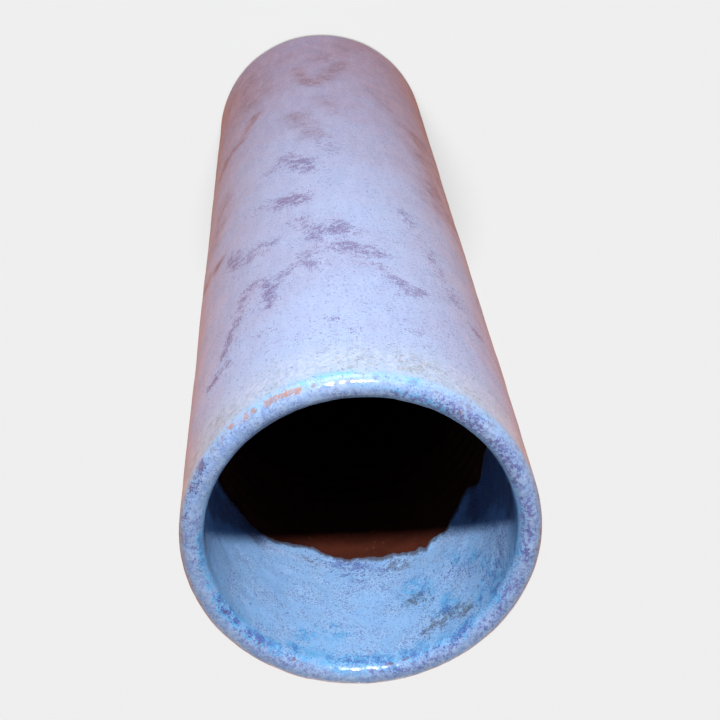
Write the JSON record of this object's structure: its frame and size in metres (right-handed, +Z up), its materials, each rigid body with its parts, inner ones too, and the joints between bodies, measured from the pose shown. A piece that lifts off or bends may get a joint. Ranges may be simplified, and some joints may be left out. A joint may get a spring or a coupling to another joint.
{
  "type": "cylindrical ceramic vase",
  "caption": "Tall straight-sided terracotta vase with an open round mouth, satin lavender-blue glaze outside and a bluer glaze over the lip and just inside.",
  "frame": {"origin": "centre of the foot's flat underside, on the surface the vase stands on", "axes": "+Z up along the vase's axis to the mouth; -Y is the side the main view looks at, +X to its right"},
  "size_m": [0.06, 0.06, 0.225],
  "materials": {
    "terracotta": "matte unglazed fired earthenware",
    "lavender_glaze": "satin, mottled and speckled",
    "sky_glaze": "gloss, speckled"
  },
  "bodies": {
    "root": {"clay_wall": "terracotta", "clay_base": "terracotta", "outer_glaze": "lavender_glaze", "mouth_glaze": "sky_glaze"}
  },
  "joints": []
}
